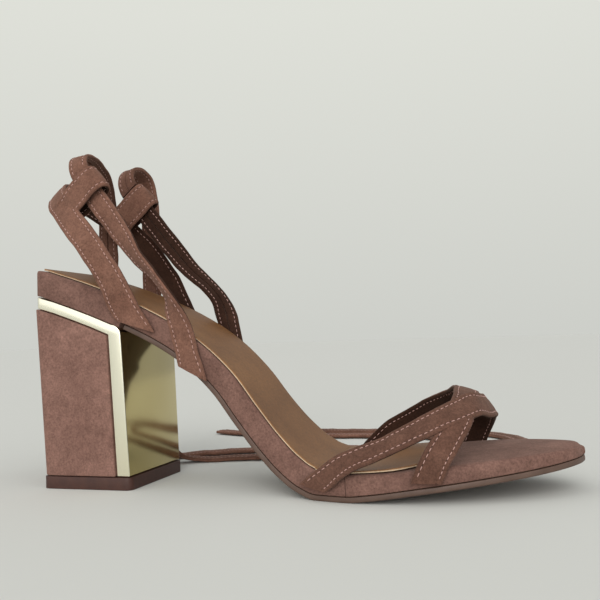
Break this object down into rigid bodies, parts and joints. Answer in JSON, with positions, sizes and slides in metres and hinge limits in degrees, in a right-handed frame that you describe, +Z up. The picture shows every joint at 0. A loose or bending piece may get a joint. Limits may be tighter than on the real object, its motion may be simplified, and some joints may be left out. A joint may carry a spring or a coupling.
{
  "type": "lace up heeled sandal",
  "caption": "Lace-up sandal with crossed toe straps, a looped heel sling, long free ties, a slim padded sole and a high block heel in a gold frame.",
  "frame": {"origin": "middle of the shoe's own box on the floor, without its free ties", "axes": "+X towards the toe, +Y towards the shoe's inner side, +Z up"},
  "size_m": [0.2336, 0.2341, 0.1513],
  "materials": {
    "suede": "matte mauve suede",
    "gold": "mirror-polished pale gold",
    "sock": "satin tan metallic leather",
    "rubber": "matte dark brown",
    "sole": "waxed dark brown"
  },
  "bodies": {
    "root": {"outsole": "sole", "footbed": "suede", "toe_cover": "suede", "insole": "sock", "heel_frame": "gold", "heel_block": "suede", "toplift": "rubber", "toe_straps": "suede", "heel_sling": "suede", "lace_outer": "suede", "lace_inner": "suede", "tie_outer": "suede", "tie_inner": "suede"}
  },
  "joints": []
}
